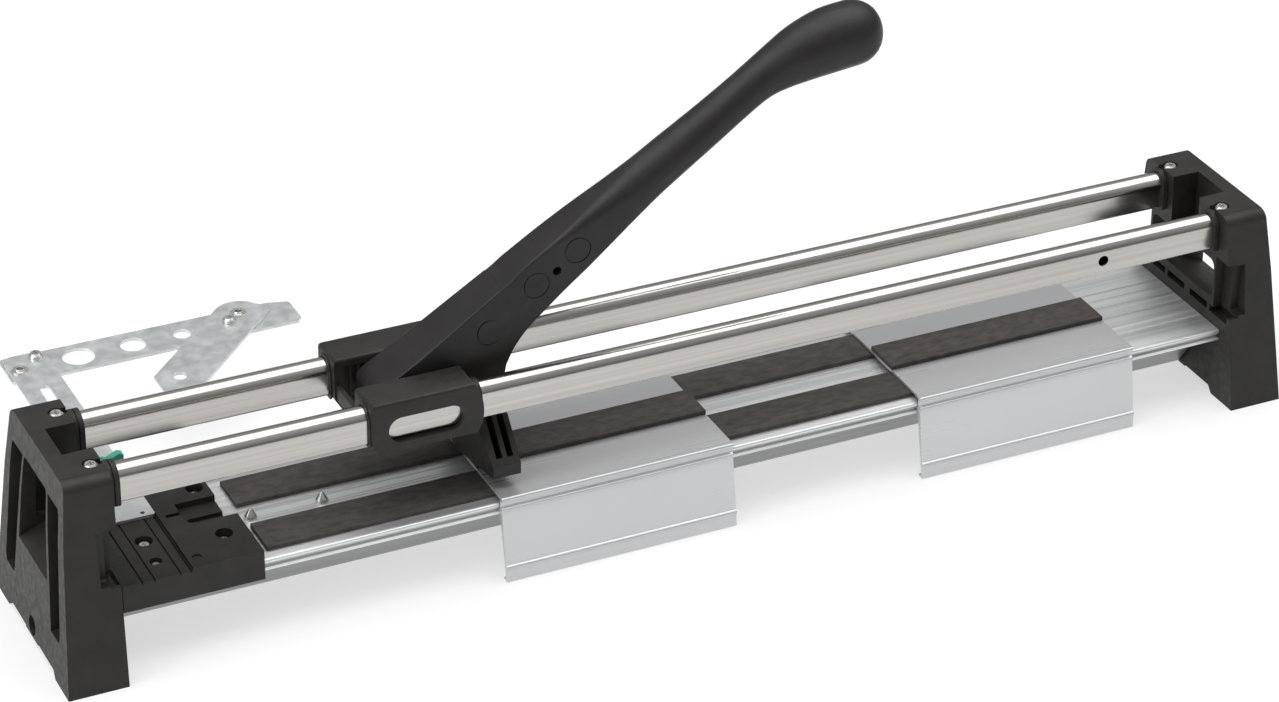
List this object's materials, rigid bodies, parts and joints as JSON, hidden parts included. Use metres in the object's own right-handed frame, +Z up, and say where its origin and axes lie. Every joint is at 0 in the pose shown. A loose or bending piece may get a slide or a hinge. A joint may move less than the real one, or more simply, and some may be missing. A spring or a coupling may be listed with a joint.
{
  "type": "manual tile cutter",
  "caption": "Manual tile cutter with a lever carriage on twin rails, an aluminium deck with sliding side extensions and a folding angle stop.",
  "frame": {"origin": "on the ground, midway between the two stands and between the two rails", "axes": "+X along the rails towards the end without the stop, +Z up, the near side at -Y"},
  "size_m": [0.8, 0.2932, 0.301],
  "materials": {
    "black_plastic": "fine moulded grain",
    "lever_plastic": "satin moulded",
    "green_plastic": "satin moulded",
    "rubber": "matt",
    "aluminium": "drawn, bright",
    "anodised": "anodised, satin",
    "rail_steel": "bright drawn",
    "zinc_steel": "zinc plated",
    "screw_steel": "zinc plated",
    "carbide": "ground"
  },
  "bodies": {
    "base": {"deck": "aluminium", "stand_left": "black_plastic", "stand_right": "black_plastic", "rail_near": "rail_steel", "rail_far": "rail_steel", "rail_bumpers": "rubber", "rail_screws": "screw_steel", "keel_screws": "screw_steel", "base_pad_near": "rubber", "base_pad_far": "rubber", "end_block": "black_plastic", "block_screws": "screw_steel", "centre_screws": "screw_steel", "clamp_stud": "screw_steel"},
    "carriage": {"carriage": "black_plastic", "glide_liners": "black_plastic", "pivot_pin": "screw_steel"},
    "lever": {"lever": "lever_plastic", "breaker_foot": "black_plastic", "foot_screw": "screw_steel", "wheel_holder": "zinc_steel", "holder_bolt": "screw_steel", "wheel_axle": "screw_steel"},
    "cutting_wheel": {"cutting_wheel": "carbide"},
    "stop_bar": {"stop_bar": "zinc_steel", "fence_pivot_screw": "screw_steel", "fence_rivet_nut": "screw_steel"},
    "fence_arm": {"fence_arm": "zinc_steel", "mitre_pivot_screw": "screw_steel"},
    "mitre_arm": {"mitre_arm": "zinc_steel", "mitre_rivet_nut": "screw_steel"},
    "clamp_knob": {"clamp_knob": "green_plastic"},
    "extension_left": {"extension_left": "anodised", "extension_left_pad": "rubber"},
    "extension_right": {"extension_right": "anodised", "extension_right_pad": "rubber"}
  },
  "joints": [
    {"name": "carriage_slide", "type": "slide", "parent": "base", "child": "carriage", "axis": [1, 0, 0], "range_m": [-0.144, 0.455]},
    {"name": "lever_hinge", "type": "hinge", "parent": "carriage", "child": "lever", "pos_m": [-0.154, 0, 0.1104], "axis": [0, -1, 0], "range_deg": [-6, 14]},
    {"name": "wheel_spin", "type": "hinge", "parent": "lever", "child": "cutting_wheel", "pos_m": [-0.178, 0, 0.081], "axis": [0, 1, 0], "continuous": true},
    {"name": "stop_slide", "type": "slide", "parent": "base", "child": "stop_bar", "axis": [0, 1, 0], "range_m": [-0.095, 0.005]},
    {"name": "fence_swing", "type": "hinge", "parent": "stop_bar", "child": "fence_arm", "pos_m": [-0.3251, 0.212, 0.055], "axis": [0, 0, 1], "range_deg": [0, 45]},
    {"name": "mitre_fold", "type": "hinge", "parent": "fence_arm", "child": "mitre_arm", "pos_m": [-0.2021, 0.2045, 0.0562], "axis": [0, 0, 1], "range_deg": [-45, 0]},
    {"name": "knob_turn", "type": "hinge", "parent": "base", "child": "clamp_knob", "pos_m": [-0.33185, 0.069, 0.06], "axis": [0, 0, 1], "range_deg": [0, 180]},
    {"name": "extension_left_slide", "type": "slide", "parent": "base", "child": "extension_left", "axis": [1, 0, 0], "range_m": [-0.08, 0.06]},
    {"name": "extension_right_slide", "type": "slide", "parent": "base", "child": "extension_right", "axis": [1, 0, 0], "range_m": [-0.062, 0.06]}
  ]
}
